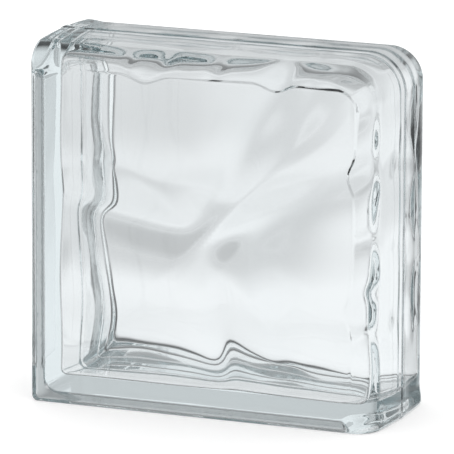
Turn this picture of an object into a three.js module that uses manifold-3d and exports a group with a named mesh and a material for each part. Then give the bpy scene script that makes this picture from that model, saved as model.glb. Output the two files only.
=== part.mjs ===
// Hollow glass block, double-end type with a wave relief: 190 x 190 x 80 mm.
//
// Two pressed-glass halves meet at the seam plane y = 0 and close a hollow between them. The
// block stands on its bottom edge: x runs across its width, z is up, and the front face looks
// along -y. Its top and right-hand sides are finished: domed, with a large edge radius and a
// bead over the seam. Its bottom and left-hand sides are mortar sides: a lip behind each face
// and a channel between the lips, which stops short of the finished sides.
//
// Each half is an outer form, lofted through rounded outlines at rising depths behind its face,
// less a cavity form, whose floor carries the waves. The origin is the middle of the base.
import * as THREE from "three";
import { mergeVertices } from "three/addons/utils/BufferGeometryUtils.js";
import Module from "manifold-3d";

// Driving dimensions, in millimetres unless a name says degrees.
const WIDTH = 190;
const HEIGHT = 190;
const DEPTH = 80;
const PLATE_THICKNESS = 6.5; // at the waves' middle height

// Finished sides (top and right).
const DOME_RISE = 3.6; // fall of the side from the seam to the face, at mid-length
const DOME_RISE_AT_ENDS = 2.2; // the same at the two open ends, which are fuller
const END_FLARE_LENGTH = 10; // over which the side fills out towards an end
const EDGE_RADIUS = 11.5; // from a finished side to a face
const BEAD_HEIGHT = 0.6; // of the bead over the seam
const BEAD_HALF_WIDTH = 2.8;
const BEAD_FLANK = 1;
const FINISHED_WALL = 8; // glass from the bead's top to the cavity
const FINISHED_CORNER_RADIUS = 20; // of the corner where the finished sides meet, at the bead
const END_CORNER_RADIUS = 2.4; // where a finished side ends at a mortar side

// Mortar sides (bottom and left).
const LIP_LAND = 8.5; // flat edge of a lip, measured from the face
const LIP_EDGE_RADIUS = 1.5;
const LIP_CORNER_RADIUS = 3; // of the corner where the two mortar sides meet
const CHANNEL_DEPTH = 4.4;
const CHANNEL_FLANK = 3; // slope from a lip's land down to the channel's floor
const CHANNEL_CORNER_RADIUS = 7;
const CHANNEL_RUNOUT = 8; // slope at the channel's closed end
const CHANNEL_END = 15.3; // from the run-out's top to the finished side's outline
const LEAST_END_LAND = 0.6; // between the run-out's top and the finished side's end corner
const MORTAR_WALL = 8.6; // glass from the channel's floor to the cavity, at the seam

// Cavity.
const CAVITY_DRAFT = 1.3; // the walls thicken by this from the seam to the plate
const MORTAR_FILLET = 1.6; // from a mortar side's wall to the plate
const FINISHED_FILLET = 6.5; // from a finished side's wall to the plate
const FILLET_BLEND = 14; // length over which one fillet grows into the other, each way
const CAVITY_CORNER_RADIUS = 4;
const CAVITY_FINISHED_CORNER_RADIUS = 13; // under the finished corner

// Waves on the inside of each plate. Two folds, mirrored about the block's diagonal, start apart
// on the mortar sides, come together at a waist and part again a little towards the finished
// corner. Softer waves run under them, each with its crests square to its direction.
const FOLD = {
  height: 6.2,
  width: 12.7, // how far out its flanks run
  sharpness: 5.1, // the smaller, the sharper the crest
  waist: 126.4, // distance of the waist from the lip corner, along the diagonal
  halfWaist: 2.4, // distance of a crest from the diagonal at the waist
  slopeBefore: 1.52, // how fast the crests come together, and part again, to the diagonal
  slopeAfter: 0.29,
  bend: 7.3, // roundness of the turn between the two
};
const WAVES = [
  { amplitude: 1.48, length: 67.8, directionDegrees: 90, phaseDegrees: 70.7 },
  { amplitude: 0.59, length: 78.6, directionDegrees: 0, phaseDegrees: -13.5 },
  { amplitude: 0.59, length: 94, directionDegrees: 63.4, phaseDegrees: 67.8 },
];

// Fineness of the facets.
const ARC_STEP_DEGREES = 18;
const EDGE_ROUND_STEPS = 5;
const LIP_ROUND_STEPS = 2;
const DOME_STEPS = 3;
const SIDE_STEPS = 6;
const SLOPE_STEPS = 3;
const PLATE_CELLS = 32;
const GRID_EASE = 0.45; // how much closer together the plate's cells are at the corners
const FILLET_STEPS = 3;
const WALL_STEPS = 3;
const CLOSEST_RINGS = 0.2;

const GLASS_COLOR = 0xdfe8e6;
const GLASS_ROUGHNESS = 0.05;

const HALF_DEPTH = DEPTH / 2;
const CUT_OVERSHOOT = 2; // how far the cavity form runs past the seam, to cut it cleanly

const wasm = await Module();
wasm.setup();

const lerp = (a, b, t) => a + (b - a) * t;
const radians = (degrees) => (degrees * Math.PI) / 180;
const easeInOut = (t) => (1 - Math.cos(Math.PI * t)) / 2;

// How far a quarter round of this radius still stands back, at a distance from where it starts.
function roundedOff(radius, distance) {
  if (distance >= radius) return 0;
  return radius - Math.sqrt(radius ** 2 - (radius - distance) ** 2);
}

// Outer form: how far a side lies inside the block's bounding outline, by depth behind a face.

function finishedInset(depth, rise) {
  const fromSeam = HALF_DEPTH - depth;
  const overBead = THREE.MathUtils.clamp((fromSeam - BEAD_HALF_WIDTH + BEAD_FLANK) / BEAD_FLANK, 0, 1);
  const dome = BEAD_HEIGHT * overBead + rise * (fromSeam / HALF_DEPTH) ** 2;
  return dome + roundedOff(EDGE_RADIUS, depth);
}

function lipInset(depth) {
  return roundedOff(LIP_EDGE_RADIUS, depth);
}

function channelShare(depth) {
  return THREE.MathUtils.clamp((depth - LIP_LAND) / CHANNEL_FLANK, 0, 1);
}

// Depths of the outlines that the outer form is lofted through: closer where a side curves.
function outerDepths() {
  const depths = [LIP_LAND, LIP_LAND + CHANNEL_FLANK, HALF_DEPTH - BEAD_HALF_WIDTH];
  depths.push(HALF_DEPTH - BEAD_HALF_WIDTH + BEAD_FLANK, HALF_DEPTH);
  for (const [radius, steps] of [[EDGE_RADIUS, EDGE_ROUND_STEPS], [LIP_EDGE_RADIUS, LIP_ROUND_STEPS]])
    for (let i = 0; i <= steps; i++) depths.push(radius * (1 - Math.cos(radians((90 * i) / steps))));
  const domeStart = LIP_LAND + CHANNEL_FLANK;
  for (let i = 1; i < DOME_STEPS; i++)
    depths.push(lerp(domeStart, HALF_DEPTH - BEAD_HALF_WIDTH, i / DOME_STEPS));
  const rising = depths.sort((a, b) => a - b);
  return rising.filter((depth, i) => i === 0 || depth - rising[i - 1] > CLOSEST_RINGS);
}

// Points [u, v] on a circle's arc, and along a line between two points without its first.
function arc(centreU, centreV, radius, fromDegrees, toDegrees) {
  const steps = Math.ceil(Math.abs(toDegrees - fromDegrees) / ARC_STEP_DEGREES);
  return Array.from({ length: steps + 1 }, (_, i) => {
    const angle = radians(lerp(fromDegrees, toDegrees, i / steps));
    return [centreU + radius * Math.cos(angle), centreV + radius * Math.sin(angle)];
  });
}

// Along easedAxis, if one is given, the way is an S.
function line(from, to, steps, easedAxis = null) {
  return Array.from({ length: steps }, (_, i) => {
    const t = (i + 1) / steps;
    return from.map((start, axis) => lerp(start, to[axis], axis === easedAxis ? easeInOut(t) : t));
  });
}

// Half of an outer outline, u along and v up from the lip corner: from the middle of that
// corner, along the mortar side and up the finished side, to the middle of the finished corner.
function outerHalfOutline(length, height, depth) {
  const lip = lipInset(depth);
  const floor = lip + CHANNEL_DEPTH * channelShare(depth);
  const lipCorner = lerp(LIP_CORNER_RADIUS, CHANNEL_CORNER_RADIUS, channelShare(depth));
  const side = finishedInset(depth, DOME_RISE);
  const sideEnd = finishedInset(depth, DOME_RISE_AT_ENDS);
  const corner = FINISHED_CORNER_RADIUS - side;
  const channelEnd = Math.max(CHANNEL_END, sideEnd + END_CORNER_RADIUS + LEAST_END_LAND);

  const runoutFoot = [length - channelEnd - CHANNEL_RUNOUT, floor];
  const runoutTop = [length - channelEnd, lip];
  const endCentre = [length - sideEnd - END_CORNER_RADIUS, lip + END_CORNER_RADIUS];
  const flareTop = [length - side, lip + END_CORNER_RADIUS + END_FLARE_LENGTH];
  const sideTop = [length - side, height - side - corner];

  const points = arc(floor + lipCorner, floor + lipCorner, lipCorner, 225, 270);
  points.push(...line(points.at(-1), runoutFoot, SIDE_STEPS));
  points.push(...line(runoutFoot, runoutTop, SLOPE_STEPS, 1));
  points.push(...arc(...endCentre, END_CORNER_RADIUS, 270, 360));
  points.push(...line(points.at(-1), flareTop, SLOPE_STEPS, 0));
  points.push(...line(flareTop, sideTop, SIDE_STEPS));
  points.push(...arc(length - side - corner, sideTop[1], corner, 0, 45).slice(1));
  return points;
}

// The block is alike about the diagonal from its lip corner to its finished corner, so the
// other half of an outline is the first with u and v exchanged, walked back.
function outerOutline(depth) {
  const there = outerHalfOutline(WIDTH, HEIGHT, depth);
  const back = outerHalfOutline(HEIGHT, WIDTH, depth).map(([u, v]) => [v, u]);
  return [...there, ...back.reverse().slice(1, -1)];
}

// Cavity form.

// A point on the cavity's outline, set in by an extra amount on the mortar sides and another on
// the finished ones. Its place is that of a point on the rim of the unit square, so that the
// plate's grid and the walls share their corners.
function cavityPoint(s, t, mortarExtra, finishedExtra) {
  const low = CHANNEL_DEPTH + MORTAR_WALL + mortarExtra;
  const high = FINISHED_WALL + finishedExtra;
  const size = [WIDTH - low - high, HEIGHT - low - high];
  const place = [low + size[0] * s, low + size[1] * t];
  const radius =
    s > 0.5 && t > 0.5
      ? CAVITY_FINISHED_CORNER_RADIUS - finishedExtra / 2
      : CAVITY_CORNER_RADIUS - mortarExtra / 2;
  const nearest = [s, t].map((share, axis) => (share < 0.5 ? low : low + size[axis]));
  const inward = [s, t].map((share) => (share < 0.5 ? 1 : -1));
  const gaps = place.map((value, axis) => Math.abs(value - nearest[axis]) / radius);
  if (Math.max(...gaps) >= 1) return place;
  const angle = radians(45 * (1 + gaps[0] - gaps[1]));
  const standBack = [1 - Math.cos(angle), 1 - Math.sin(angle)];
  return nearest.map((value, axis) => value + inward[axis] * radius * standBack[axis]);
}

// How high the fillet stands at a place on the unit square's rim.
function filletHeight(s, t) {
  const beyondOpenCorner = (s + t - 1) * WIDTH;
  const share = THREE.MathUtils.clamp(0.5 + beyondOpenCorner / (2 * FILLET_BLEND), 0, 1);
  return lerp(MORTAR_FILLET, FINISHED_FILLET, easeInOut(share));
}

function foldHeight(u, v) {
  const along = (u + v) / Math.SQRT2 - FOLD.waist;
  const fromDiagonal = Math.abs(u - v) / Math.SQRT2;
  const turn = (FOLD.slopeAfter + FOLD.slopeBefore) / 2;
  const lean = (FOLD.slopeAfter - FOLD.slopeBefore) / 2;
  const bent = Math.hypot(along, FOLD.bend);
  const crest = FOLD.halfWaist + turn * bent + lean * along;
  const crestSlope = (turn * along) / bent + lean;
  const fromCrest = (fromDiagonal - crest) / Math.hypot(1, crestSlope);
  return FOLD.height * Math.exp(-Math.hypot(fromCrest, FOLD.sharpness) / FOLD.width);
}

// Height of the waves over the plate's inner surface, at a distance from the lip corner.
function waveHeight(u, v) {
  let height = foldHeight(u, v);
  for (const wave of WAVES) {
    const direction = radians(wave.directionDegrees);
    const along = (u - WIDTH / 2) * Math.cos(direction) + (v - HEIGHT / 2) * Math.sin(direction);
    height += wave.amplitude * Math.sin((2 * Math.PI * along) / wave.length + radians(wave.phaseDegrees));
  }
  return height;
}

// Closed surfaces, gathered as points [u, v, depth] and triangles that face outwards.
class Surface {
  points = [];
  triangles = [];

  add(point) {
    return this.points.push(point) - 1;
  }

  // A band between two closed rings of as many points.
  band(lower, upper) {
    lower.forEach((a, i) => {
      const j = (i + 1) % lower.length;
      this.triangles.push([a, lower[j], upper[j]], [a, upper[j], upper[i]]);
    });
  }

  // A fan that closes a ring at its middle: from the deep side, or from the shallow one.
  cap(ring, middle, deepSide) {
    const centre = this.add(middle);
    ring.forEach((a, i) => {
      const b = ring[(i + 1) % ring.length];
      this.triangles.push(deepSide ? [a, b, centre] : [b, a, centre]);
    });
  }

  // The surface as a solid in the block's frame: facing -y, or mirrored to face +y.
  solid(faces) {
    const vertices = this.points.map(([u, v, depth]) => [
      u - WIDTH / 2,
      faces === "front" ? depth - HALF_DEPTH : HALF_DEPTH - depth,
      v,
    ]);
    const geometry = new THREE.BufferGeometry();
    geometry.setAttribute("position", new THREE.Float32BufferAttribute(vertices.flat(), 3));
    const turned = faces === "back" ? this.triangles : this.triangles.map(([a, b, c]) => [a, c, b]);
    geometry.setIndex(turned.flat());
    const merged = mergeVertices(geometry);
    return new wasm.Manifold(
      new wasm.Mesh({
        numProp: 3,
        vertProperties: merged.attributes.position.array,
        triVerts: new Uint32Array(merged.index.array),
      }),
    );
  }
}

function outerForm() {
  const surface = new Surface();
  const rings = outerDepths().map((depth) =>
    outerOutline(depth).map(([u, v]) => surface.add([u, v, depth])),
  );
  surface.cap(rings[0], [WIDTH / 2, HEIGHT / 2, 0], false);
  for (let i = 1; i < rings.length; i++) surface.band(rings[i - 1], rings[i]);
  surface.cap(rings.at(-1), [WIDTH / 2, HEIGHT / 2, HALF_DEPTH], true);
  return surface;
}

// Shares of a side at which the plate's grid has its lines: closer together at the corners.
function gridShares() {
  return Array.from({ length: PLATE_CELLS + 1 }, (_, i) => {
    const even = i / PLATE_CELLS;
    return lerp(even, easeInOut(even), GRID_EASE);
  });
}

// The rim of the grid, as pairs of grid indices, in the order of the outlines.
function gridRim() {
  const rim = [];
  for (let i = 0; i < PLATE_CELLS; i++) rim.push([i, 0]);
  for (let i = 0; i < PLATE_CELLS; i++) rim.push([PLATE_CELLS, i]);
  for (let i = PLATE_CELLS; i > 0; i--) rim.push([i, PLATE_CELLS]);
  for (let i = PLATE_CELLS; i > 0; i--) rim.push([0, i]);
  return rim;
}

// The places of the plate's grid: blended between its four rounded edges.
function platePlaces(shares) {
  const insets = [CAVITY_DRAFT + MORTAR_FILLET, CAVITY_DRAFT + FINISHED_FILLET];
  const edge = (s, t) => cavityPoint(s, t, ...insets);
  return shares.map((s) =>
    shares.map((t) =>
      [0, 1].map((axis) => {
        const across = lerp(edge(0, t)[axis], edge(1, t)[axis], s);
        const upward = lerp(edge(s, 0)[axis], edge(s, 1)[axis], t);
        const low = lerp(edge(0, 0)[axis], edge(1, 0)[axis], s);
        const high = lerp(edge(0, 1)[axis], edge(1, 1)[axis], s);
        return across + upward - lerp(low, high, t);
      }),
    ),
  );
}

function cavityForm(heightAt) {
  const surface = new Surface();
  const shares = gridShares();
  const places = platePlaces(shares);
  const depthAt = ([u, v]) => PLATE_THICKNESS + heightAt(u, v);

  const grid = places.map((row) => row.map((place) => surface.add([...place, depthAt(place)])));
  for (let i = 0; i < PLATE_CELLS; i++)
    for (let j = 0; j < PLATE_CELLS; j++) {
      const [a, b, c, d] = [grid[i][j], grid[i + 1][j], grid[i + 1][j + 1], grid[i][j + 1]];
      const risesToMiddle = i < PLATE_CELLS / 2 === j < PLATE_CELLS / 2;
      if (risesToMiddle) surface.triangles.push([a, c, b], [a, d, c]);
      else surface.triangles.push([a, d, b], [b, d, c]);
    }

  // The fillet, then the drafted wall up to the seam and past it.
  const rim = gridRim().map(([i, j]) => ({
    vertex: grid[i][j],
    at: [shares[i], shares[j]],
    floor: depthAt(places[i][j]),
    fillet: filletHeight(shares[i], shares[j]),
  }));
  let ring = rim.map(({ vertex }) => vertex);
  const climb = (draft, filletShare, depthOf) => {
    const insets = [draft + MORTAR_FILLET * filletShare, draft + FINISHED_FILLET * filletShare];
    const next = rim.map((post) => surface.add([...cavityPoint(...post.at, ...insets), depthOf(post)]));
    surface.band(ring, next);
    ring = next;
  };
  for (let i = 1; i <= FILLET_STEPS; i++) {
    const angle = radians((90 * i) / FILLET_STEPS);
    climb(CAVITY_DRAFT, 1 - Math.sin(angle), ({ floor, fillet }) => floor + fillet * (1 - Math.cos(angle)));
  }
  for (let i = 1; i <= WALL_STEPS; i++) {
    const share = i / WALL_STEPS;
    climb(CAVITY_DRAFT * (1 - share), 0, ({ floor, fillet }) => lerp(floor + fillet, HALF_DEPTH, share));
  }
  climb(0, 0, () => HALF_DEPTH + CUT_OVERSHOOT);
  surface.cap(ring, [WIDTH / 2, HEIGHT / 2, HALF_DEPTH + CUT_OVERSHOOT], true);
  return surface;
}

// One pressed half: its outer form less its cavity.
function pressedHalf(name, faces, heightAt) {
  const solid = outerForm().solid(faces).subtract(cavityForm(heightAt).solid(faces));
  const { vertProperties, triVerts } = solid.getMesh();
  const geometry = new THREE.BufferGeometry();
  geometry.setAttribute("position", new THREE.BufferAttribute(vertProperties, 3));
  geometry.setIndex(new THREE.BufferAttribute(triVerts, 1));
  geometry.computeVertexNormals();
  const glass = new THREE.MeshStandardMaterial({ color: GLASS_COLOR, roughness: GLASS_ROUGHNESS, metalness: 0 });
  const mesh = new THREE.Mesh(geometry, glass);
  mesh.name = name;
  return mesh;
}

// Both halves are pressed in one mould. The back one is turned over about the block's diagonal,
// which exchanges the directions of its waves.
const glassBlock = new THREE.Group();
glassBlock.add(pressedHalf("front_half", "front", waveHeight));
glassBlock.add(pressedHalf("back_half", "back", (u, v) => waveHeight(v, u)));

export default glassBlock;
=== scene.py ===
"""A hollow glass block of the double-end kind, with a wave relief, on a pale floor.

The block is one piece of clear glass: an outer skin, domed on its two finished sides and with a
mortar channel on the other two, and the skin of the sealed hollow inside it. Both are modelled
here finely enough to refract well, from the same dimensions as the CAD halves they stand for.

Places on the block are in millimetres from its lip corner: u runs across, v runs up, and y runs
back from the seam. A depth is measured from the nearer face towards the seam.

The world gives an even white light. What the glass shows is a studio of its own, with soft light
and dark cards, which only glossy and transmission rays see.
"""

import math

import bpy
import numpy as np
from mathutils import Matrix, Vector


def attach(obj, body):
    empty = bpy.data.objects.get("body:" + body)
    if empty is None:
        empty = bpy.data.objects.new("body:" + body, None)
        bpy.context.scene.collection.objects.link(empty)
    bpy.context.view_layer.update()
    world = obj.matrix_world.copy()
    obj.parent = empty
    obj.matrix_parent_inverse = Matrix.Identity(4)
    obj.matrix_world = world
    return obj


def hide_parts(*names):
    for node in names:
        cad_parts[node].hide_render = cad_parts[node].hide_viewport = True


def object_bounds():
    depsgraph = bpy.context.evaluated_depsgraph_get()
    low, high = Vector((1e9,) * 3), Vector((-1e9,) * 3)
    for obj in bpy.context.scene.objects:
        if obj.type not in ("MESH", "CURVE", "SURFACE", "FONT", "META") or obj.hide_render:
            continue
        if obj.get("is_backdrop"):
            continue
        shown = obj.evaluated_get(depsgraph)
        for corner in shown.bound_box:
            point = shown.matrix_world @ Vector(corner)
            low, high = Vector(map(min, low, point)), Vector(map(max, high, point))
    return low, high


MM = 0.001

# Dimensions of the block, in millimetres. Its overall size comes from the frame.
PLATE_THICKNESS = 6.5  # at the waves' middle height
DOME_RISE = 3.6  # fall of a finished side from the seam to a face, at mid-length
DOME_RISE_AT_ENDS = 2.2  # the same at the side's open end, which is fuller
END_FLARE_LENGTH = 10.0  # over which the side fills out towards that end
EDGE_RADIUS = 11.5  # from a finished side to a face
BEAD_HEIGHT = 0.6  # of the bead over the seam
BEAD_HALF_WIDTH = 2.8
BEAD_FLANK = 1.0
FINISHED_WALL = 8.0  # glass from the bead's top to the hollow
FINISHED_CORNER_RADIUS = 20.0  # where the finished sides meet, at the bead
END_CORNER_RADIUS = 2.4  # where a finished side ends at a mortar side
LIP_LAND = 8.5  # flat edge of a lip, measured from the face
LIP_EDGE_RADIUS = 1.5
LIP_CORNER_RADIUS = 3.0  # where the two mortar sides meet
CHANNEL_DEPTH = 4.4
CHANNEL_FLANK = 3.0  # slope from a lip's land down to the channel's floor
CHANNEL_BLEND = 0.5  # how softly the flank meets the land and the floor
CHANNEL_CORNER_RADIUS = 7.0
CHANNEL_RUNOUT = 8.0  # slope at the channel's closed end
CHANNEL_END = 15.3  # from the run-out's top to the finished side's outline
LEAST_LAND = 0.6  # between the run-out's top and the finished side's end corner
MORTAR_WALL = 8.6  # glass from the channel's floor to the hollow, at the seam
CAVITY_DRAFT = 1.3  # the walls thicken by this from the seam to a plate
MORTAR_FILLET = 1.6  # from a mortar side's wall to a plate
FINISHED_FILLET = 6.5  # from a finished side's wall to a plate
FILLET_BLEND = 14.0  # length over which one fillet grows into the other, each way
CAVITY_CORNER_RADIUS = 4.0
CAVITY_FINISHED_CORNER_RADIUS = 13.0
SEAM_RIDGE = 0.4  # glass squeezed into the hollow where the halves are fused
SEAM_RIDGE_WIDTH = 1.6

# Waves pressed into the inside of each plate: two sharp folds, mirrored about the block's
# diagonal, which come together at a waist, and softer waves under them.
FOLD_HEIGHT = 6.2
FOLD_WIDTH = 12.7  # how far out a fold's flanks run
FOLD_SHARPNESS = 5.1  # the smaller, the sharper the crest
FOLD_WAIST = 126.4  # distance of the waist from the lip corner, along the diagonal
FOLD_HALF_WAIST = 2.4  # distance of a crest from the diagonal at the waist
FOLD_SLOPE_BEFORE = 1.52  # how fast the crests come together before the waist
FOLD_SLOPE_AFTER = 0.29  # how fast they part again after it
FOLD_BEND = 7.3  # roundness of the turn between the two
# The softer waves: amplitude, length, and direction and phase in degrees.
WAVES = (
    (1.48, 67.8, 90.0, 70.7),
    (0.59, 78.6, 0.0, -13.5),
    (0.59, 94.0, 63.4, 67.8),
)

# Unevenness of the hollow's wall: a slow wave all round, and soft swellings of the finished
# walls, which are given by their place along the wall and from the seam, their height, and
# their reach along and across.
WALL_WAVE = 0.15
WALL_WAVE_LENGTH = 43.0
WALL_WAVE_TURN = 1.0  # how far the wave has run on at the seam, in radians
SWELLINGS = (
    (51.0, 0.0, 0.7, 9.0, 15.0),
    (88.0, 0.0, 0.5, 8.0, 15.0),
    (128.0, 0.0, 0.9, 11.0, 15.0),
    (162.0, 0.0, 0.8, 9.0, 15.0),
    (49.0, 30.0, 1.2, 4.0, 4.5),
    (70.0, 28.0, 1.0, 4.0, 4.0),
    (97.0, 30.0, 1.3, 4.5, 4.5),
    (133.0, 30.0, 2.0, 7.0, 5.5),
    (163.0, 30.0, 2.2, 9.0, 5.5),
    (158.0, 27.0, 1.5, 26.0, 9.0),
    (104.0, 28.0, 1.3, 20.0, 8.0),
    (54.0, 28.0, 1.3, 20.0, 8.0),
)
# Where the plates' rims on the finished sides bulge towards the middle: the place along the
# side, the height and the reach.
RIM_BULGES = (
    (61.0, 4.0, 8.0),
    (131.0, 3.4, 7.0),
)

# The frosted coat in the mortar channels, as a share that each point of the mesh carries: full on a
# channel's flanks, thin on its floor, and none on the lips and the run-outs' tops. The coat's dark
# grey colour is painted shade: it stands for the shade inside the channels, seen through their flanks.
COAT = "mortar_coat_and_painted_shade"
COAT_RISE = 4.0  # how fast it grows from the lips' land down to the floor
COAT_MARGIN = 1.0  # how far in from the floor a point still counts as the channel's
COAT_ON_FLOOR = 0.08
COAT_THINS_OVER = 2.0  # distance from the flank's foot over which it thins to that

# Fineness of the skins, with steps and margins in millimetres. A crowding above 1 makes a
# round's first steps the smallest, or the wall's last ones, next to the seam.
EDGE_ROUND_STEPS = 26
EDGE_ROUND_CROWDING = 1.4
LIP_ROUND_STEPS = 7
FLANK_STEP = 0.5
FLANK_MARGIN_BEFORE = 1.5
FLANK_MARGIN_AFTER = 2.0
DOME_STEP = 2.2
BEAD_STEP = 0.35
BEAD_MARGIN = 0.5
LEAST_DEPTH_STEP = 0.04
ARC_STEP_DEGREES = 6.0
SIDE_STEP = 3.4
SLOPE_STEPS = 16
FACE_RINGS = (0.15, 0.4, 1.0, 2.0, 4.0, 8.0, 16.0, 30.0, 48.0, 66.0)
PLATE_CELLS = 96
GRID_EASE = 0.45  # how much closer together the plates' cells are along their rims
FILLET_STEPS = 14
FILLET_CROWDING = 1.3
WALL_STEPS = 26
WALL_CROWDING = 1.3

# Where the camera stands as seen from the block's middle, in degrees and metres, and its lens.
CAMERA_AZIMUTH = 22.03
CAMERA_ELEVATION = 12.63
CAMERA_ROLL = 0.27
CAMERA_DISTANCE = 3.074
CAMERA_ASIDE = Vector((-0.0026, -0.0031))
CAMERA_TARGET = Vector((0.0, 0.0, 0.095))
CAMERA_LENS = 475.9
CAMERA_SENSOR = 36.0
CAMERA_REACH = 200.0

# The floor.
FLOOR_RADIUS = 60.0
FLOOR_SIDES = 64
FLOOR_COLOUR = (0.8, 0.8, 0.8, 1.0)
FLOOR_GLOW = 0.4  # what the camera sees of it besides, so that it turns white

# The studio as the glass shows it, in linear tones and degrees: first by elevation, and then
# light and dark cards, by azimuth, elevation, half width, half height, softness of the edge, and
# tone. Azimuths run from straight behind the block towards its right.
STUDIO_BY_ELEVATION = (
    (-90.0, 0.50), (-65.0, 0.45), (-56.0, 0.10), (-44.0, 0.05), (-38.0, 0.45), (-30.0, 0.84),
    (-22.0, 0.90), (-12.0, 0.98), (-7.0, 0.86), (0.0, 0.54), (6.0, 0.53), (12.0, 0.65),
    (25.0, 0.66), (40.0, 0.40), (60.0, 0.25), (90.0, 0.40),
)
CARDS = (
    (-85.0, 40.0, 35.0, 30.0, 0.3, 0.25),
    (-100.0, 0.0, 34.0, 30.0, 0.4, 0.65),
    (-68.0, -26.0, 14.0, 24.0, 0.3, 0.02),
    (-48.0, -14.0, 7.0, 14.0, 0.4, 0.03),
    (30.0, -8.0, 26.0, 26.0, 0.3, 0.97),
    (74.0, 0.0, 13.0, 35.0, 0.3, 0.06),
    (-158.0, 0.0, 26.0, 35.0, 0.3, 0.95),
    (12.0, -11.0, 5.0, 6.5, 0.4, 0.15),
)
STUDIO_TINT = (0.955, 0.985, 1.0, 1.0)
# A grey sheet lying on the floor, behind the block and to its left, as the glass shows it.
SHEET_CENTRE = (-0.45, 0.75, 0.0)
SHEET_REACH = (0.4, 0.5, 1.0)
SHEET_EDGE = 3.0  # the higher, the harder its edge
SHEET_SHARE = 0.85
SHEET_TONE = 0.65

# The glass. Heights of relief are in metres, and scales are those of the noise.
GLASS_IOR = 1.51
GLASS_COLOUR = (0.65, 0.765, 0.785, 1.0)
GLASS_DENSITY = 6.0
# Painted shade: the coat's dark grey stands for the shade inside the mortar channels, which the glass
# shows through their flanks.
COAT_AND_CHANNEL_SHADE_COLOUR = (0.31, 0.335, 0.34, 1.0)
COAT_ROUGHNESS = 0.1
COAT_GRAIN = 0.00008
COAT_GRAIN_SCALE = 450.0
COAT_GRAIN_DETAIL = 2.0
RIPPLE = 0.00004  # the faint ripple all over pressed glass
RIPPLE_SCALE = 55.0
RIPPLE_DETAIL = 1.0

WHITE = (1.0, 1.0, 1.0, 1.0)
LIGHT_BOUNCES = 32


def rounded_off(radius, distance):
    """How far a quarter round still stands back, at a distance from where it starts."""
    left = np.clip(radius - distance, 0.0, radius)
    return radius - np.sqrt(radius**2 - left**2)


def ease(t):
    return (1.0 - np.cos(np.pi * np.clip(t, 0.0, 1.0))) / 2.0


def soft_step(value, low, high, blend):
    """0 below low and 1 above high, straight between, with rounded knees."""

    def soft_positive(x):
        return (x + np.sqrt(x**2 + blend**2)) / 2.0

    return (soft_positive(value - low) - soft_positive(value - high)) / (high - low)


def arc(centre_u, centre_v, radius, start, end):
    """Points on a circle's arc, its angles in degrees."""
    steps = math.ceil(abs(end - start) / ARC_STEP_DEGREES)
    angles = np.radians(np.linspace(start, end, steps + 1))
    return np.stack([centre_u + radius * np.cos(angles), centre_v + radius * np.sin(angles)], axis=1)


def run(start, end, steps, eased_axis=None):
    """Points from start to end without the first; along eased_axis the way is a smooth S."""
    t = np.arange(1, steps + 1) / steps
    points = np.asarray(start) + (np.asarray(end) - np.asarray(start)) * t[:, None]
    if eased_axis is not None:
        s = t**3 * (10.0 - 15.0 * t + 6.0 * t**2)
        points[:, eased_axis] = start[eased_axis] + (end[eased_axis] - start[eased_axis]) * s
    return points


class Skin:
    """Points and faces of a mesh, gathered in millimetres from the lip corner."""

    def __init__(self):
        self.points = []
        self.coats = []
        self.faces = []

    def point(self, u, v, y, coat=0.0):
        self.points.append((u, y, v))
        self.coats.append(coat)
        return len(self.points) - 1

    def ring(self, outline, y, coats=0.0):
        """A closed ring of points over an outline, at one y and coat or at one for each point."""
        levels = np.broadcast_to(y, len(outline))
        coats = np.broadcast_to(coats, len(outline))
        return [self.point(u, v, level, coat) for (u, v), level, coat in zip(outline, levels, coats)]

    def bands(self, rings):
        """Faces between each ring and the next."""
        for lower, upper in zip(rings, rings[1:]):
            for i in range(len(lower)):
                j = (i + 1) % len(lower)
                self.faces.append((lower[i], upper[i], upper[j], lower[j]))

    def fan(self, ring, centre, facing_back):
        """Faces from a ring to the point at its centre."""
        for i in range(len(ring)):
            a, b = ring[i], ring[(i + 1) % len(ring)]
            self.faces.append((b, a, centre) if facing_back else (a, b, centre))

    def sheet(self, places, y, facing_front):
        """A grid of faces over an array of places, with y for each; its points, row by row."""
        count = len(places)
        rows = [[self.point(*places[i, j], y[i, j]) for j in range(count)] for i in range(count)]
        for i in range(count - 1):
            for j in range(count - 1):
                face = (rows[i][j], rows[i + 1][j], rows[i + 1][j + 1], rows[i][j + 1])
                self.faces.append(face if facing_front else face[::-1])
        return rows

    def object(self, name, origin):
        """The finished mesh as an object, its lip corner at the origin given in metres."""
        mesh = bpy.data.meshes.new(name)
        co = np.array(self.points) * MM + np.array(origin)
        mesh.from_pydata(co.tolist(), [], self.faces)
        mesh.update()
        mesh.shade_smooth()
        mesh.attributes.new(COAT, "FLOAT", "POINT").data.foreach_set("value", self.coats)
        piece = bpy.data.objects.new(name, mesh)
        bpy.context.scene.collection.objects.link(piece)
        return piece


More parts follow.
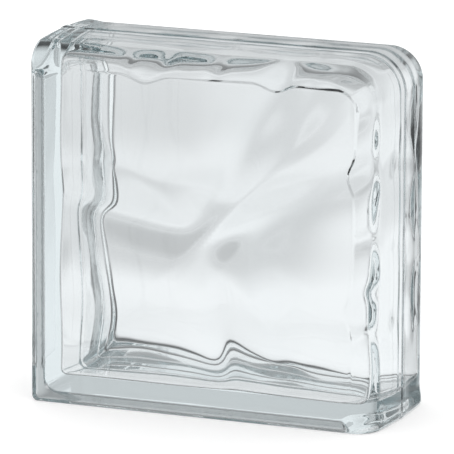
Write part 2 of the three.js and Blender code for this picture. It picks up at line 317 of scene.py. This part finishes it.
class Block:
    """The block's two skins, as functions of the size that the frame gives."""

    def __init__(self, low, high):
        self.width, depth, self.height = ((high - low) / MM)[:]
        self.half = depth / 2.0
        self.middle = np.array([self.width, self.height]) / 2.0

    def level(self, depth, exchanged):
        """y of a depth in the front half, or in the back half, which has its directions exchanged."""
        return self.half - depth if exchanged else depth - self.half

    # Outer skin.

    def finished_inset(self, depth, rise):
        """How far a finished side lies inside the bounding outline, at a depth."""
        from_seam = self.half - depth
        off_bead = ease((from_seam - BEAD_HALF_WIDTH + BEAD_FLANK) / BEAD_FLANK)
        dome = BEAD_HEIGHT * off_bead + rise * (from_seam / self.half) ** 2
        return dome + rounded_off(EDGE_RADIUS, depth)

    def outer_depths(self):
        """Depths of the outlines from a face to the seam: closer where a side curves."""
        flank_start = LIP_LAND - FLANK_MARGIN_BEFORE
        flank_end = LIP_LAND + CHANNEL_FLANK + FLANK_MARGIN_AFTER
        bead_start = self.half - BEAD_HALF_WIDTH - BEAD_MARGIN
        shares = np.linspace(0.0, 1.0, EDGE_ROUND_STEPS + 1) ** EDGE_ROUND_CROWDING
        lip_angles = np.radians(np.linspace(0.0, 90.0, LIP_ROUND_STEPS + 1))
        depths = np.concatenate([
            EDGE_RADIUS * (1.0 - np.cos(np.radians(90.0 * shares))),
            LIP_EDGE_RADIUS * (1.0 - np.cos(lip_angles)),
            np.arange(flank_start, flank_end, FLANK_STEP),
            np.linspace(flank_end, bead_start, int((bead_start - flank_end) / DOME_STEP) + 1),
            np.linspace(bead_start, self.half, int((self.half - bead_start) / BEAD_STEP) + 1),
        ])
        depths = np.unique(np.round(depths, 3))
        keep = np.concatenate([[True], np.diff(depths) > LEAST_DEPTH_STEP])
        keep[-1] = True
        return depths[keep]

    def outer_half_outline(self, length, height, depth):
        """From the middle of the lip corner, along the mortar side and up the finished side."""
        lip = rounded_off(LIP_EDGE_RADIUS, depth)
        share = soft_step(depth, LIP_LAND, LIP_LAND + CHANNEL_FLANK, CHANNEL_BLEND)
        floor = lip + CHANNEL_DEPTH * share
        lip_corner = LIP_CORNER_RADIUS + (CHANNEL_CORNER_RADIUS - LIP_CORNER_RADIUS) * share
        side = self.finished_inset(depth, DOME_RISE)
        side_end = self.finished_inset(depth, DOME_RISE_AT_ENDS)
        corner = FINISHED_CORNER_RADIUS - side
        channel_end = max(CHANNEL_END, side_end + END_CORNER_RADIUS + LEAST_LAND)

        foot = np.array([length - channel_end - CHANNEL_RUNOUT, floor])
        top = np.array([length - channel_end, lip])
        end_centre = (length - side_end - END_CORNER_RADIUS, lip + END_CORNER_RADIUS)
        flare_top = np.array([length - side, lip + END_CORNER_RADIUS + END_FLARE_LENGTH])
        side_top = np.array([length - side, height - side - corner])
        steps = int(length / SIDE_STEP)

        lip_arc = arc(floor + lip_corner, floor + lip_corner, lip_corner, 225.0, 270.0)
        end_arc = arc(*end_centre, END_CORNER_RADIUS, 270.0, 360.0)
        top_arc = arc(length - side - corner, side_top[1], corner, 0.0, 45.0)
        return np.concatenate([
            lip_arc,
            run(lip_arc[-1], foot, steps),
            run(foot, top, SLOPE_STEPS, eased_axis=1),
            end_arc,
            run(end_arc[-1], flare_top, SLOPE_STEPS, eased_axis=0),
            run(flare_top, side_top, steps),
            top_arc[1:],
        ])

    def outer_outline(self, depth):
        """The whole outline: its other half is the first with its two directions exchanged."""
        there = self.outer_half_outline(self.width, self.height, depth)
        back = self.outer_half_outline(self.height, self.width, depth)[::-1, ::-1]
        return np.concatenate([there, back[1:-1]])

    def coat(self, outline, depth):
        """How much of the frosted coat, with the painted shade of its colour, each point of an outline
        carries.
        """
        sunk = outline.min(axis=1) - rounded_off(LIP_EDGE_RADIUS, depth)
        before_end = outline.max(axis=1) < self.width - CHANNEL_END
        in_channel = (sunk < CHANNEL_DEPTH + COAT_MARGIN) & before_end
        on_floor = min(max((depth - LIP_LAND - CHANNEL_FLANK) / COAT_THINS_OVER, 0.0), 1.0)
        thickness = 1.0 - (1.0 - COAT_ON_FLOOR) * on_floor
        return thickness * in_channel * np.clip(COAT_RISE * sunk / CHANNEL_DEPTH, 0.0, 1.0)

    def outer_skin(self, skin):
        depths = self.outer_depths()
        levels = np.concatenate([depths - self.half, self.half - depths[-2::-1]])
        rings = []
        for y in levels:
            depth = self.half - abs(y)
            outline = self.outer_outline(depth)
            rings.append(skin.ring(outline, y, self.coat(outline, depth)))
        skin.bands(rings)
        face = self.outer_outline(0.0)
        reach = self.width / 2.0 - self.finished_inset(0.0, DOME_RISE)
        shrunk = [
            self.middle + (face - self.middle) * (1.0 - inset / reach) for inset in FACE_RINGS
        ]
        for y, edge, facing_back in ((-self.half, rings[0], False), (self.half, rings[-1], True)):
            nested = [edge] + [skin.ring(outline, y) for outline in shrunk]
            centre = skin.point(*self.middle, y)
            skin.bands(nested if facing_back else nested[::-1])
            skin.fan(nested[-1], centre, facing_back)

    # Inner skin: the sealed hollow.

    def cavity_point(self, s, t, mortar_extra, finished_extra, bulge_share):
        """A point on the hollow's outline, from its place on the unit square's rim.

        The extras set it in from the walls at the seam, and the bulges are added by their share.
        """
        low = CHANNEL_DEPTH + MORTAR_WALL + mortar_extra
        high = FINISHED_WALL + finished_extra
        size = np.array([self.width - low - high, self.height - low - high])
        share = np.array([s, t])
        place = low + size * share
        radius = CAVITY_CORNER_RADIUS - mortar_extra / 2.0
        if s > 0.5 and t > 0.5:
            radius = CAVITY_FINISHED_CORNER_RADIUS - finished_extra / 2.0
        nearest = np.where(share < 0.5, low, low + size)
        inward = np.where(share < 0.5, 1.0, -1.0)
        gaps = np.abs(place - nearest) / radius
        if gaps.max() < 1.0:
            angle = math.radians(45.0 * (1.0 + gaps[0] - gaps[1]))
            place = nearest + inward * radius * np.array([1.0 - math.cos(angle), 1.0 - math.sin(angle)])
        bulge = bulge_share * sum(
            height * math.exp(-(((place.min() - at) / reach) ** 2)) for at, height, reach in RIM_BULGES
        )
        return place - bulge * np.array([s == 1.0, t == 1.0])

    def fillet_radius(self, s, t):
        """Radius of the fillet at a place on the unit square's rim: it grows round an open corner."""
        beyond = (max(s, t) - 1.0 + min(s, t)) * self.width
        share = ease(0.5 + beyond / (2.0 * FILLET_BLEND))
        return MORTAR_FILLET + (FINISHED_FILLET - MORTAR_FILLET) * share

    def wave_height(self, u, v, exchanged):
        """Height of the waves at a place; the back plate's are the front's turned over the diagonal."""
        if exchanged:
            u, v = v, u
        along = (u + v) / math.sqrt(2.0) - FOLD_WAIST
        off = np.abs(u - v) / math.sqrt(2.0) - FOLD_HALF_WAIST
        turn = (FOLD_SLOPE_AFTER + FOLD_SLOPE_BEFORE) / 2.0
        lean = (FOLD_SLOPE_AFTER - FOLD_SLOPE_BEFORE) / 2.0
        bent = np.hypot(along, FOLD_BEND)
        from_fold = (off - turn * bent - lean * along) / np.hypot(1.0, turn * along / bent + lean)
        height = FOLD_HEIGHT * np.exp(-np.hypot(from_fold, FOLD_SHARPNESS) / FOLD_WIDTH)
        x, z = u - self.width / 2.0, v - self.height / 2.0
        for amplitude, length, direction, phase in WAVES:
            along = x * math.cos(math.radians(direction)) + z * math.sin(math.radians(direction))
            height = height + amplitude * np.sin(2.0 * math.pi * along / length + math.radians(phase))
        return height

    def swelling(self, along, from_seam):
        """How far the finished walls swell into the hollow at a place on them."""
        total = 0.0
        for at, at_across, height, reach_along, reach_across in SWELLINGS:
            off = (along - at) / reach_along
            off_across = (from_seam - at_across) / reach_across
            total = total + height * np.exp(-off**2 - off_across**2)
        return total

    def plate_places(self, shares):
        """Both plates' grid of places, blended between its four rounded edges."""
        insets = (CAVITY_DRAFT + MORTAR_FILLET, CAVITY_DRAFT + FINISHED_FILLET)
        left, right, bottom, top = (
            np.array([self.cavity_point(*where, *insets, 1.0) for where in side])
            for side in (
                [(0.0, t) for t in shares],
                [(1.0, t) for t in shares],
                [(s, 0.0) for s in shares],
                [(s, 1.0) for s in shares],
            )
        )
        s, t = shares[:, None, None], shares[None, :, None]
        places = (1.0 - s) * left[None] + s * right[None]
        places = places + (1.0 - t) * bottom[:, None] + t * top[:, None]
        at_left = (1.0 - t) * left[0] + t * left[-1]
        at_right = (1.0 - t) * right[0] + t * right[-1]
        places -= (1.0 - s) * at_left + s * at_right
        return places

    def inner_skin(self, skin):
        """Both plates, and the wall between their rims, over its fillets and the seam."""
        even = np.linspace(0.0, 1.0, PLATE_CELLS + 1)
        shares = even + (ease(even) - even) * GRID_EASE
        places = self.plate_places(shares)
        plates = []
        for exchanged in (False, True):
            depth = PLATE_THICKNESS + self.wave_height(places[..., 0], places[..., 1], exchanged)
            plates.append(skin.sheet(places, self.level(depth, exchanged), exchanged))

        n = PLATE_CELLS
        rim = [(i, 0) for i in range(n)] + [(n, i) for i in range(n)]
        rim += [(i, n) for i in range(n, 0, -1)] + [(0, i) for i in range(n, 0, -1)]
        wall = HollowWall(self, shares[np.array(rim)], np.array([places[i, j] for i, j in rim]))
        rings = []
        for exchanged in (False, True):
            half_rings = [[plates[exchanged][i][j] for i, j in rim]]
            for outline, depth in wall.levels(exchanged):
                half_rings.append(skin.ring(outline, self.level(depth, exchanged)))
            rings += half_rings[::-1] if exchanged else half_rings
        skin.bands(rings[::-1])


class HollowWall:
    """The wall round the hollow, from one plate's rim over its fillet and the seam to the other.

    The wall is given by levels: outlines of the hollow with a depth at each of their points.
    """

    def __init__(self, block, shares, rim):
        self.block = block
        self.shares = shares
        self.rim = rim
        self.fillet = np.array([block.fillet_radius(s, t) for s, t in shares])
        self.along = rim.min(axis=1)
        around = np.cumsum(np.linalg.norm(np.diff(rim, axis=0, append=rim[:1]), axis=1))
        lap = around[-1] / max(1, round(around[-1] / WALL_WAVE_LENGTH))
        self.phase = 2.0 * math.pi * around / lap

    def plate_depth(self, outline, exchanged):
        return PLATE_THICKNESS + self.block.wave_height(outline[:, 0], outline[:, 1], exchanged)

    def outline(self, draft, fillet_share, push=0.0):
        """The hollow's outline with its draft and a share of its fillet, pushed inwards."""
        insets = (draft + MORTAR_FILLET * fillet_share, draft + FINISHED_FILLET * fillet_share)
        points = [self.block.cavity_point(s, t, *insets, fillet_share) for s, t in self.shares]
        outline = np.array(points)
        inward = self.block.middle - outline
        push = np.broadcast_to(push, len(outline))[:, None]
        return outline + push * inward / np.linalg.norm(inward, axis=1)[:, None]

    def levels(self, exchanged):
        """From a plate's rim, without the rim itself, to the seam, which the front half has."""
        yield from self.fillet_levels(exchanged)
        yield from self.side_levels(exchanged)

    def fillet_levels(self, exchanged):
        at_rim = self.plate_depth(self.rim, exchanged)
        for step in range(1, FILLET_STEPS + 1):
            angle = math.radians(90.0 * (step / FILLET_STEPS) ** FILLET_CROWDING)
            fillet_share = 1.0 - math.sin(angle)
            # The plate's waves run out in the fillet.
            plate = self.plate_depth(self.outline(CAVITY_DRAFT, fillet_share), exchanged)
            plate = at_rim + (plate - at_rim) * math.cos(angle) ** 2
            depth = plate + self.fillet * (1.0 - math.cos(angle))
            swelling = self.block.swelling(self.along, self.block.half - depth)
            outline = self.outline(CAVITY_DRAFT, fillet_share, swelling * math.sin(angle))
            yield outline, depth + swelling * math.cos(angle)

    def side_levels(self, exchanged):
        at_rim = self.plate_depth(self.rim, exchanged)
        room = self.block.half - at_rim - self.fillet
        turn = -WALL_WAVE_TURN if exchanged else WALL_WAVE_TURN
        for step in range(1, WALL_STEPS if exchanged else WALL_STEPS + 1):
            share = 1.0 - (1.0 - step / WALL_STEPS) ** WALL_CROWDING
            depth = at_rim + self.fillet + room * share
            from_seam = self.block.half - depth
            ridge = SEAM_RIDGE * np.exp(-((from_seam / SEAM_RIDGE_WIDTH) ** 2))
            wave = WALL_WAVE * np.sin(self.phase + turn * share) * np.sin(math.pi * share)
            push = ridge + wave + self.block.swelling(self.along, from_seam)
            yield self.outline(CAVITY_DRAFT * (1.0 - share), 0.0, push), depth


def make_block():
    low, high = (Vector(corner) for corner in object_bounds())
    block = Block(low, high)
    skin = Skin()
    block.outer_skin(skin)
    block.inner_skin(skin)
    piece = skin.object("glass_block", (low.x, (low.y + high.y) / 2.0, low.z))
    piece.data.materials.append(glass())
    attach(piece, "root")
    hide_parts("front_half", "back_half")


# Materials, light and camera.


class Nodes:
    """An emptied node tree, with short ways to add nodes to it."""

    def __init__(self, owner):
        owner.use_nodes = True
        self.tree = owner.node_tree
        self.tree.nodes.clear()

    def node(self, kind, *inputs, **settings):
        """A new node, by its first output if it has one; its inputs are sockets, values or None."""
        made = self.tree.nodes.new("ShaderNode" + kind)
        for name, value in settings.items():
            setattr(made, name, value)
        for socket, value in zip(made.inputs, inputs):
            if isinstance(value, bpy.types.NodeSocket):
                self.tree.links.new(value, socket)
            elif value is not None:
                socket.default_value = value
        return made.outputs[0] if made.outputs else made

    def maths(self, operation, *inputs):
        return self.node("Math", *inputs, operation=operation)

    def vector(self, operation, *inputs):
        return self.node("VectorMath", *inputs, operation=operation)

    def seen_in_glass(self):
        """1 for a ray that a glossy or see-through surface sends on, and 0 for others."""
        path = self.node("LightPath").node.outputs
        return self.maths("MAXIMUM", path["Is Glossy Ray"], path["Is Transmission Ray"])


def glass():
    """Clear glass, faintly blue-green in its depth, with a frosted coat in the mortar channels, whose
    dark grey colour is painted shade from inside the channels.
    """
    material = bpy.data.materials.new("clear_glass")
    nodes = Nodes(material)
    link = nodes.tree.links.new
    coat = nodes.node("Attribute", attribute_name=COAT).node.outputs["Fac"]
    # The coat's dark grey, mixed into the glass's colour, is painted shade of the channels.
    surface = nodes.node("BsdfPrincipled", nodes.node("MixRGB", coat, WHITE, COAT_AND_CHANNEL_SHADE_COLOUR)).node
    link(nodes.maths("MULTIPLY", coat, COAT_ROUGHNESS), surface.inputs["Roughness"])
    place = nodes.node("TexCoord").node.outputs["Object"]
    grain = nodes.node("TexNoise", place, None, COAT_GRAIN_SCALE, COAT_GRAIN_DETAIL)
    ripple = nodes.node("TexNoise", place, None, RIPPLE_SCALE, RIPPLE_DETAIL)
    on_coat = nodes.maths("MULTIPLY", grain, coat)
    relief = nodes.maths("MULTIPLY_ADD", on_coat, COAT_GRAIN, nodes.maths("MULTIPLY", ripple, RIPPLE))
    bump = nodes.node("Bump", 1.0, 1.0).node
    link(relief, bump.inputs["Height"])
    link(bump.outputs[0], surface.inputs["Normal"])
    surface.inputs["IOR"].default_value = GLASS_IOR
    surface.inputs["Transmission Weight"].default_value = 1.0
    depth = nodes.node("VolumeAbsorption", GLASS_COLOUR, GLASS_DENSITY)
    nodes.node("OutputMaterial", surface.outputs[0], depth)
    return material


def make_camera():
    azimuth, elevation = math.radians(CAMERA_AZIMUTH), math.radians(CAMERA_ELEVATION)
    back = Vector((
        math.sin(azimuth) * math.cos(elevation),
        -math.cos(azimuth) * math.cos(elevation),
        math.sin(elevation),
    ))
    right = Vector((math.cos(azimuth), math.sin(azimuth), 0.0))
    up = back.cross(right)
    roll = math.radians(CAMERA_ROLL)
    right, up = (
        math.cos(roll) * right + math.sin(roll) * up,
        -math.sin(roll) * right + math.cos(roll) * up,
    )
    data = bpy.data.cameras.new("camera")
    data.lens = CAMERA_LENS
    data.sensor_width = CAMERA_SENSOR
    data.clip_end = CAMERA_REACH
    camera = bpy.data.objects.new("camera", data)
    bpy.context.scene.collection.objects.link(camera)
    aside = CAMERA_ASIDE.x * right + CAMERA_ASIDE.y * up
    place = CAMERA_TARGET + CAMERA_DISTANCE * back + aside
    axes = Matrix((right, up, back)).transposed().to_4x4()
    camera.matrix_world = Matrix.Translation(place) @ axes
    bpy.context.scene.camera = camera


def ramp_stop(stops, place):
    """The stop at a place on a colour ramp: one of its two ends, or a new one."""
    if place == 0.0:
        return stops[0]
    if place == 1.0:
        return stops[-1]
    return stops.new(place)


def studio_tone(nodes, direction):
    """How bright the studio looks in a direction from the block, to what the glass shows."""
    parts = nodes.node("SeparateXYZ", direction).node.outputs
    azimuth = nodes.maths("ARCTAN2", parts["X"], parts["Y"])
    elevation = nodes.maths("ARCSINE", parts["Z"])
    ramp = nodes.node("ValToRGB", nodes.maths("MULTIPLY_ADD", elevation, 1.0 / math.pi, 0.5))
    stops = ramp.node.color_ramp.elements
    for level, tone in STUDIO_BY_ELEVATION:
        ramp_stop(stops, level / 180.0 + 0.5).color = (tone, tone, tone, 1.0)
    shown = nodes.node("RGBToBW", ramp)
    for card_azimuth, card_elevation, half_width, half_height, softness, tone in CARDS:
        across = nodes.maths("SUBTRACT", azimuth, math.radians(card_azimuth))
        above = nodes.maths("SUBTRACT", elevation, math.radians(card_elevation))
        across = nodes.maths("DIVIDE", across, math.radians(half_width))
        above = nodes.maths("DIVIDE", above, math.radians(half_height))
        squares = nodes.maths("MULTIPLY_ADD", across, across, nodes.maths("MULTIPLY", above, above))
        limits = (1.0 - softness, 1.0 + softness, 1.0, 0.0)
        off = nodes.maths("SQRT", squares)
        share = nodes.node("MapRange", off, *limits, interpolation_type="SMOOTHSTEP")
        shown = nodes.maths("MULTIPLY_ADD", share, nodes.maths("SUBTRACT", tone, shown), shown)
    return shown


def make_world():
    """An even white light, and the studio for what the glass shows."""
    world = bpy.data.worlds.new("studio")
    bpy.context.scene.world = world
    nodes = Nodes(world)
    direction = nodes.node("TexCoord").node.outputs["Generated"]
    light = nodes.node("Background", WHITE, 1.0)
    shown = nodes.node("Background", STUDIO_TINT, studio_tone(nodes, direction))
    mixed = nodes.node("MixShader", nodes.seen_in_glass(), light, shown)
    nodes.node("OutputWorld", mixed)


def sheet_share(nodes, place):
    """How much of the grey sheet shows at a place on the floor, softly bounded."""
    off = nodes.vector("DIVIDE", nodes.vector("SUBTRACT", place, SHEET_CENTRE), SHEET_REACH)
    off = nodes.vector("LENGTH", off).node.outputs["Value"]
    falling = nodes.maths("MULTIPLY", nodes.maths("POWER", off, SHEET_EDGE), -1.0)
    return nodes.maths("MULTIPLY", nodes.maths("EXPONENT", falling), SHEET_SHARE)


def make_floor():
    """A matte floor, white to the camera; the glass sees the studio and the sheet in its place."""
    bpy.ops.mesh.primitive_circle_add(vertices=FLOOR_SIDES, radius=FLOOR_RADIUS, fill_type="NGON")
    floor = bpy.context.object
    floor.name = "floor"
    material = bpy.data.materials.new("floor")
    nodes = Nodes(material)
    camera_ray = nodes.node("LightPath").node.outputs["Is Camera Ray"]
    place = nodes.node("NewGeometry").node.outputs["Position"]
    matte = nodes.node("BsdfDiffuse", FLOOR_COLOUR)
    glow = nodes.node("Emission", WHITE, FLOOR_GLOW)
    direct = nodes.node("AddShader", matte, glow)
    clear = nodes.node("BsdfTransparent")
    grey = nodes.node("Emission", STUDIO_TINT, SHEET_TONE)
    in_glass = nodes.node("MixShader", sheet_share(nodes, place), clear, grey)
    plain = nodes.node("MixShader", camera_ray, matte, direct)
    shown = nodes.node("MixShader", nodes.seen_in_glass(), plain, in_glass)
    nodes.node("OutputMaterial", shown)
    floor.data.materials.append(material)
    floor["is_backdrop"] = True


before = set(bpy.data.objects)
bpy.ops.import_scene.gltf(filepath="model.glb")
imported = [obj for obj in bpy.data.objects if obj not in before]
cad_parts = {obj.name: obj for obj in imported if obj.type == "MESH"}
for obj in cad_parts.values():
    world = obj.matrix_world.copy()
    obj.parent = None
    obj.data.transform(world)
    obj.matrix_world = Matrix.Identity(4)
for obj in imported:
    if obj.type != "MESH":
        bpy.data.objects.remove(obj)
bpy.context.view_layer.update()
make_block()
make_camera()
make_world()
make_floor()
bpy.context.scene.view_settings.view_transform = "Standard"
bpy.context.scene.cycles.max_bounces = LIGHT_BOUNCES
bpy.context.scene.cycles.transmission_bounces = LIGHT_BOUNCES
bpy.context.scene.cycles.glossy_bounces = LIGHT_BOUNCES
bpy.context.view_layer.update()
